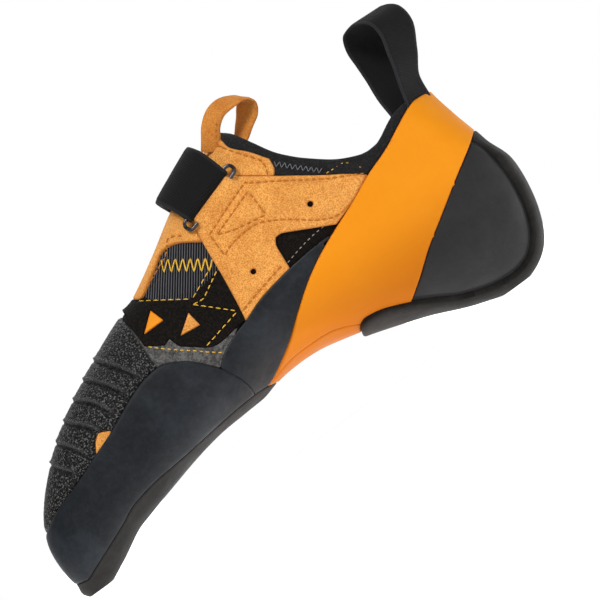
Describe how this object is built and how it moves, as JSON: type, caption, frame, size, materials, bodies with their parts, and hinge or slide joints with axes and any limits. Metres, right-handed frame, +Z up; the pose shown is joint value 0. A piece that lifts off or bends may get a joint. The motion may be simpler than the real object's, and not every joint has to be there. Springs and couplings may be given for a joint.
{
  "type": "climbing shoe",
  "caption": "Downturned rubber climbing shoe with a hooked toe, orange heel band and suede, a webbing strap through a ring, and pull loops at heel and throat.",
  "frame": {"origin": "middle of the bounding box on the floor, z = 0 under the toe and the heel", "axes": "+X from toe to heel, +Y to the outer side of the foot, +Z up"},
  "size_m": [0.26, 0.0912, 0.14],
  "materials": {
    "lining_black": "soft black knit, matt",
    "microfibre_black": "black microfibre with a fine nap",
    "suede_orange": "orange suede, napped and matt",
    "rubber_orange": "smooth orange rubber, satin",
    "rubber_rand": "smooth blue-black rubber, satin",
    "rubber_patch": "black rubber with a pebbled face",
    "rubber_sole": "dark climbing rubber, matt with ground edges",
    "rubber_heel": "charcoal rubber, satin",
    "elastic_black": "ribbed black elastic",
    "webbing_black": "woven black webbing",
    "insole_grey": "grey lining felt",
    "metal_dark": "polished steel wire"
  },
  "bodies": {
    "root": {"upper": "lining_black", "insole": "insole_grey", "front_outsole": "rubber_sole", "heel_sole": "rubber_sole", "toe_rand": "rubber_rand", "side_rand_inner": "rubber_rand", "side_rand_outer": "rubber_rand", "heel_band": "rubber_orange", "heel_side_inner": "rubber_heel", "heel_side_outer": "rubber_heel", "toe_patch": "rubber_patch", "side_panel": "microfibre_black", "inlay_rear": "suede_orange", "inlay_front": "suede_orange", "throat_frame": "suede_orange", "strap_anchor": "suede_orange", "outer_quarter": "suede_orange", "elastic_gore": "elastic_black", "collar_cuff": "lining_black", "strap": "webbing_black", "strap_ring": "metal_dark", "ring_tab": "suede_orange", "heel_loop": "webbing_black", "throat_loop": "suede_orange"}
  },
  "joints": []
}
